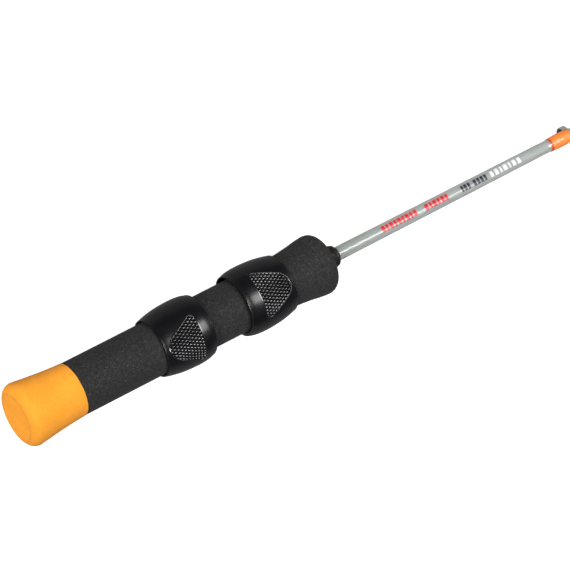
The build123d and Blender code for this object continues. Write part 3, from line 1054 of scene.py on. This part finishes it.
def printed_bars(name, start, widths, gap, material):
    """A row of plain bars printed on the blank in place of any lettering."""
    turns = spread(radians(PRINT_TURN - PRINT_HALF), radians(PRINT_TURN + PRINT_HALF), radians(4))
    verts, faces = [], []
    for width in widths:
        sheets = []
        for lift in (PRINT_TOP, PRINT_UNDER):
            rows = [add_row(verts, [polar(x, blank_radius(x) + lift, t) for t in turns])
                    for x in spread(start, start + width, 0.6)]
            for a, b in zip(rows, rows[1:]):
                faces += [(a[j], b[j], b[j + 1], a[j + 1]) for j in range(len(turns) - 1)]
            sheets.append(rows)
        top, under = sheets
        for i in range(len(top) - 1):
            for j in (0, -1):
                faces.append((top[i][j], top[i + 1][j], under[i + 1][j], under[i][j]))
        for j in range(len(turns) - 1):
            for i in (0, -1):
                faces.append((top[i][j], top[i][j + 1], under[i][j + 1], under[i][j]))
        start += width + gap
    add_piece(name, (verts, faces), material, "rod")


# ---- build --------------------
butt_cap()
main_grip()
winding_check()
blank()
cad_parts["grip_bond"].data.materials.clear()
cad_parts["grip_bond"].data.materials.append(glue)
reel_ring("rear_ring", narrow_x=70.8, mouth_side=1, pocket_turn=86.5)
reel_ring("front_ring", narrow_x=140.9, mouth_side=-1, pocket_turn=102.5)
for number, (ring_x, diameter) in enumerate(GUIDES, start=1):
    line_guide(f"guide_{number}", ring_x, diameter)
tip_top()
printed_bars("marks_red_long", 196.9, [1.75, 1.3] * 4 + [1.75], 0.75, red_ink)
printed_bars("marks_red_short", 221.8, [1.75, 1.3] * 3, 0.75, red_ink)
printed_bars("marks_navy_short", 242.7, [1.2, 1.5, 1.3], 0.55, navy_ink)
printed_bars("marks_navy_long", 249.9, [1.5, 1.3, 1.4, 1.2], 0.7, navy_ink)
printed_bars("marks_white", 259.8, [1.6, 1.9, 1.1, 2.0, 1.1, 1.9, 1.8], 1.05, white_ink)

# ---- studio --------------------
FLOOR_HALF = 6.0
floor_z = cad_low.z - 0.00005   # just below the rod
floor_mesh = bpy.data.meshes.new("floor")
corners = [(x * FLOOR_HALF, y * FLOOR_HALF, floor_z) for x, y in ((-1, -1), (1, -1), (1, 1), (-1, 1))]
floor_mesh.from_pydata(corners, [], [(0, 1, 2, 3)])
floor_mesh.materials.append(floor_paper())
floor = bpy.data.objects.new("floor", floor_mesh)
scene.collection.objects.link(floor)
# the floor is there for the camera and for shadows; the rod neither mirrors it nor takes light from it
floor.visible_glossy = False
floor.visible_diffuse = False

# Softboxes that face the rod; size is (along the rod, across it). Broad ones that nothing mirrors soften
# the shadows, and one that is only mirrored draws the lips of the rings.
for name, target_x, direction, distance, size, power, hidden_from in (
        ("key", 0.11, (0.34, 0.02, 0.94), 0.55, (0.43, 0.26), 3.3, None),
        ("fill", 0.10, (-0.88, 0.15, 0.45), 1.3, (0.9, 0.9), 18.0, "glossy"),
        ("rim", 0.11, (-0.89, -0.16, 0.42), 1.2, (0.35, 0.35), 12.0, "diffuse"),
        ("far_side", 0.10, (0.05, 0.92, 0.38), 1.3, (0.9, 0.9), 2.0, "glossy"),
        ("near_side", 0.10, (0.0, -0.95, 0.05), 1.3, (0.9, 0.9), 1.1, "glossy")):
    light = bpy.data.lights.new(name, "AREA")
    light.shape = "RECTANGLE"
    light.size, light.size_y = size
    light.energy = power
    lamp = bpy.data.objects.new(name, light)
    back = Vector(direction).normalized()
    along_rod = (Vector((1, 0, 0)) - back * back.x).normalized()
    lamp.matrix_world = Matrix.Translation(Vector((target_x, 0.0, 0.0)) + back * distance) @ Matrix(
        (along_rod, back.cross(along_rod), back)).transposed().to_4x4()
    scene.collection.objects.link(lamp)
    lamp.visible_camera = False
    lamp.visible_glossy = hidden_from != "glossy"
    lamp.visible_diffuse = hidden_from != "diffuse"

# the world is darker above than below for the rod, and plain and pale for the camera
world = bpy.data.worlds.new("studio")
world.use_nodes = True
nodes, links = world.node_tree.nodes, world.node_tree.links
direction = nodes.new("ShaderNodeTexCoord")
height = nodes.new("ShaderNodeSeparateXYZ")
lift = nodes.new("ShaderNodeMapRange")
set_inputs(lift, From_Min=-0.30, From_Max=0.30)
shades = nodes.new("ShaderNodeValToRGB")
for element, place, colour in zip(shades.color_ramp.elements, (0.35, 0.60),
                                  ((0.26, 0.26, 0.26, 1.0), (0.072, 0.066, 0.076, 1.0))):
    element.position = place
    element.color = colour
paths = nodes.new("ShaderNodeLightPath")
seen = nodes.new("ShaderNodeMix")
seen.data_type = "RGBA"
seen.inputs[7].default_value = (0.90, 0.90, 0.90, 1.0)
links.new(direction.outputs["Generated"], height.inputs["Vector"])
links.new(height.outputs["Z"], lift.inputs["Value"])
links.new(lift.outputs["Result"], shades.inputs["Fac"])
links.new(paths.outputs["Is Camera Ray"], seen.inputs["Factor"])
links.new(shades.outputs["Color"], seen.inputs[6])
links.new(seen.outputs[2], nodes["Background"].inputs["Color"])

scene.world = world
scene.view_settings.view_transform = "Standard"
scene.view_settings.look = "None"

# the camera stands where the grip's edges and end circles fall as they do in the photo
CAMERA_PLACE = Vector((-0.5174, 0.24775, 1.40294))
FORWARD = Vector((0.42031, -0.15886, -0.89337)).normalized()
RIGHT = Vector((0.807296, -0.384028, 0.448102))
camera_data = bpy.data.cameras.new("camera")
camera_data.sensor_width = 36.0
camera_data.lens = 221.05
camera = bpy.data.objects.new("camera", camera_data)
right = (RIGHT - FORWARD * RIGHT.dot(FORWARD)).normalized()
camera.matrix_world = Matrix.Translation(CAMERA_PLACE) @ Matrix(
    (right, right.cross(FORWARD), -FORWARD)).transposed().to_4x4()
scene.collection.objects.link(camera)
scene.camera = camera
